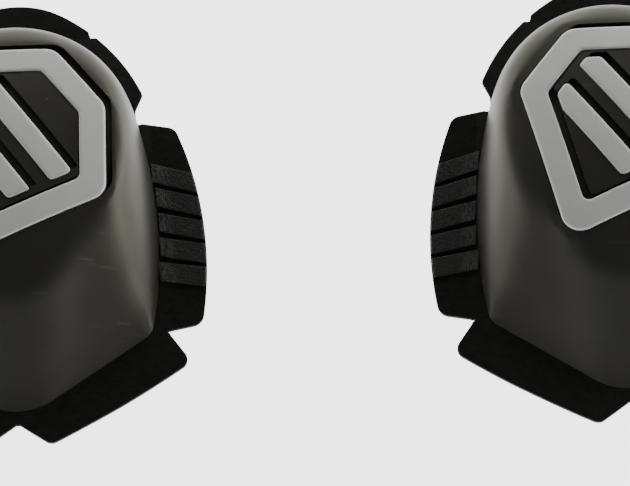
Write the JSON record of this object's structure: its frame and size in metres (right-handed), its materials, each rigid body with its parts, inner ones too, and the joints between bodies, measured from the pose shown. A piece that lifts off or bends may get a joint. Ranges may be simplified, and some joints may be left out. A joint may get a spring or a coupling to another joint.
{
  "type": "motorcycle knee slider pair",
  "caption": "Pair of hard-shell motorcycle knee guards with inlaid face badge and flexible hook-backed fabric petals with rubber grip bars.",
  "frame": {"origin": "centre of the pair's bounding box, on the plane the hook faces lie on", "axes": "+X from the left guard to the right guard, +Y towards the guards' upper edges, +Z out of the domes"},
  "size_m": [0.3768, 0.1796, 0.0342],
  "materials": {
    "shell": "satin moulded charcoal polyurethane with fine scuffs",
    "inlay": "smooth light grey-white moulded inlay",
    "foam": "closed-cell foam",
    "plate": "plain plastic sheet",
    "cloth": "black brushed loop cloth",
    "hook": "moulded hook tape",
    "grip": "leather-grained rubber"
  },
  "bodies": {
    "left_guard": {"left_backing_plate": "plate", "left_centre_cloth": "cloth", "left_centre_hook": "hook", "left_foam_core": "foam", "left_inlay_bar_1": "inlay", "left_inlay_bar_2": "inlay", "left_inlay_ring": "inlay", "left_slider_shell": "shell"},
    "left_lip_petal": {"left_lip_cloth": "cloth", "left_lip_hook": "hook"},
    "left_inner_side_petal": {"left_inner_side_cloth": "cloth", "left_inner_side_grip_1": "grip", "left_inner_side_grip_2": "grip", "left_inner_side_grip_3": "grip", "left_inner_side_grip_4": "grip", "left_inner_side_grip_5": "grip", "left_inner_side_hook": "hook"},
    "left_outer_side_petal": {"left_outer_side_cloth": "cloth", "left_outer_side_grip_1": "grip", "left_outer_side_grip_2": "grip", "left_outer_side_grip_3": "grip", "left_outer_side_grip_4": "grip", "left_outer_side_grip_5": "grip", "left_outer_side_hook": "hook"},
    "left_inner_lower_petal": {"left_inner_lower_cloth": "cloth", "left_inner_lower_hook": "hook"},
    "left_outer_lower_petal": {"left_outer_lower_cloth": "cloth", "left_outer_lower_hook": "hook"},
    "right_guard": {"right_backing_plate": "plate", "right_centre_cloth": "cloth", "right_centre_hook": "hook", "right_foam_core": "foam", "right_inlay_bar_1": "inlay", "right_inlay_bar_2": "inlay", "right_inlay_ring": "inlay", "right_slider_shell": "shell"},
    "right_lip_petal": {"right_lip_cloth": "cloth", "right_lip_hook": "hook"},
    "right_inner_side_petal": {"right_inner_side_cloth": "cloth", "right_inner_side_grip_1": "grip", "right_inner_side_grip_2": "grip", "right_inner_side_grip_3": "grip", "right_inner_side_grip_4": "grip", "right_inner_side_grip_5": "grip", "right_inner_side_hook": "hook"},
    "right_outer_side_petal": {"right_outer_side_cloth": "cloth", "right_outer_side_grip_1": "grip", "right_outer_side_grip_2": "grip", "right_outer_side_grip_3": "grip", "right_outer_side_grip_4": "grip", "right_outer_side_grip_5": "grip", "right_outer_side_hook": "hook"},
    "right_inner_lower_petal": {"right_inner_lower_cloth": "cloth", "right_inner_lower_hook": "hook"},
    "right_outer_lower_petal": {"right_outer_lower_cloth": "cloth", "right_outer_lower_hook": "hook"}
  },
  "joints": [
    {"name": "left_guard_lift", "type": "slide", "parent": "right_guard", "child": "left_guard", "axis": [0, 0, 1], "range_m": [0, 0.15]},
    {"name": "left_lip_petal_flex", "type": "hinge", "parent": "left_guard", "child": "left_lip_petal", "pos_m": [-0.1156, 0.07681, 0.0012], "axis": [1, 0, 0], "range_deg": [-45, 60], "stiffness_Nm_per_rad": 0.05},
    {"name": "left_inner_side_petal_flex", "type": "hinge", "parent": "left_guard", "child": "left_inner_side_petal", "pos_m": [-0.05918, -0.00039, 0.0012], "axis": [0.077, -0.997, 0], "range_deg": [-45, 60], "stiffness_Nm_per_rad": 0.05},
    {"name": "left_outer_side_petal_flex", "type": "hinge", "parent": "left_guard", "child": "left_outer_side_petal", "pos_m": [-0.17202, -0.00039, 0.0012], "axis": [0.077, 0.997, 0], "range_deg": [-45, 60], "stiffness_Nm_per_rad": 0.05},
    {"name": "left_inner_lower_petal_flex", "type": "hinge", "parent": "left_guard", "child": "left_inner_lower_petal", "pos_m": [-0.06319, -0.05003, 0.0012], "axis": [-0.836, -0.5487, 0], "range_deg": [-45, 60], "stiffness_Nm_per_rad": 0.05},
    {"name": "left_outer_lower_petal_flex", "type": "hinge", "parent": "left_guard", "child": "left_outer_lower_petal", "pos_m": [-0.16801, -0.05003, 0.0012], "axis": [-0.836, 0.5487, 0], "range_deg": [-45, 60], "stiffness_Nm_per_rad": 0.05},
    {"name": "right_lip_petal_flex", "type": "hinge", "parent": "right_guard", "child": "right_lip_petal", "pos_m": [0.1156, 0.07681, 0.0012], "axis": [1, 0, 0], "range_deg": [-45, 60], "stiffness_Nm_per_rad": 0.05},
    {"name": "right_inner_side_petal_flex", "type": "hinge", "parent": "right_guard", "child": "right_inner_side_petal", "pos_m": [0.05918, -0.00039, 0.0012], "axis": [0.077, 0.997, 0], "range_deg": [-45, 60], "stiffness_Nm_per_rad": 0.05},
    {"name": "right_outer_side_petal_flex", "type": "hinge", "parent": "right_guard", "child": "right_outer_side_petal", "pos_m": [0.17202, -0.00039, 0.0012], "axis": [0.077, -0.997, 0], "range_deg": [-45, 60], "stiffness_Nm_per_rad": 0.05},
    {"name": "right_inner_lower_petal_flex", "type": "hinge", "parent": "right_guard", "child": "right_inner_lower_petal", "pos_m": [0.06319, -0.05003, 0.0012], "axis": [-0.836, 0.5487, 0], "range_deg": [-45, 60], "stiffness_Nm_per_rad": 0.05},
    {"name": "right_outer_lower_petal_flex", "type": "hinge", "parent": "right_guard", "child": "right_outer_lower_petal", "pos_m": [0.16801, -0.05003, 0.0012], "axis": [-0.836, -0.5487, 0], "range_deg": [-45, 60], "stiffness_Nm_per_rad": 0.05}
  ]
}
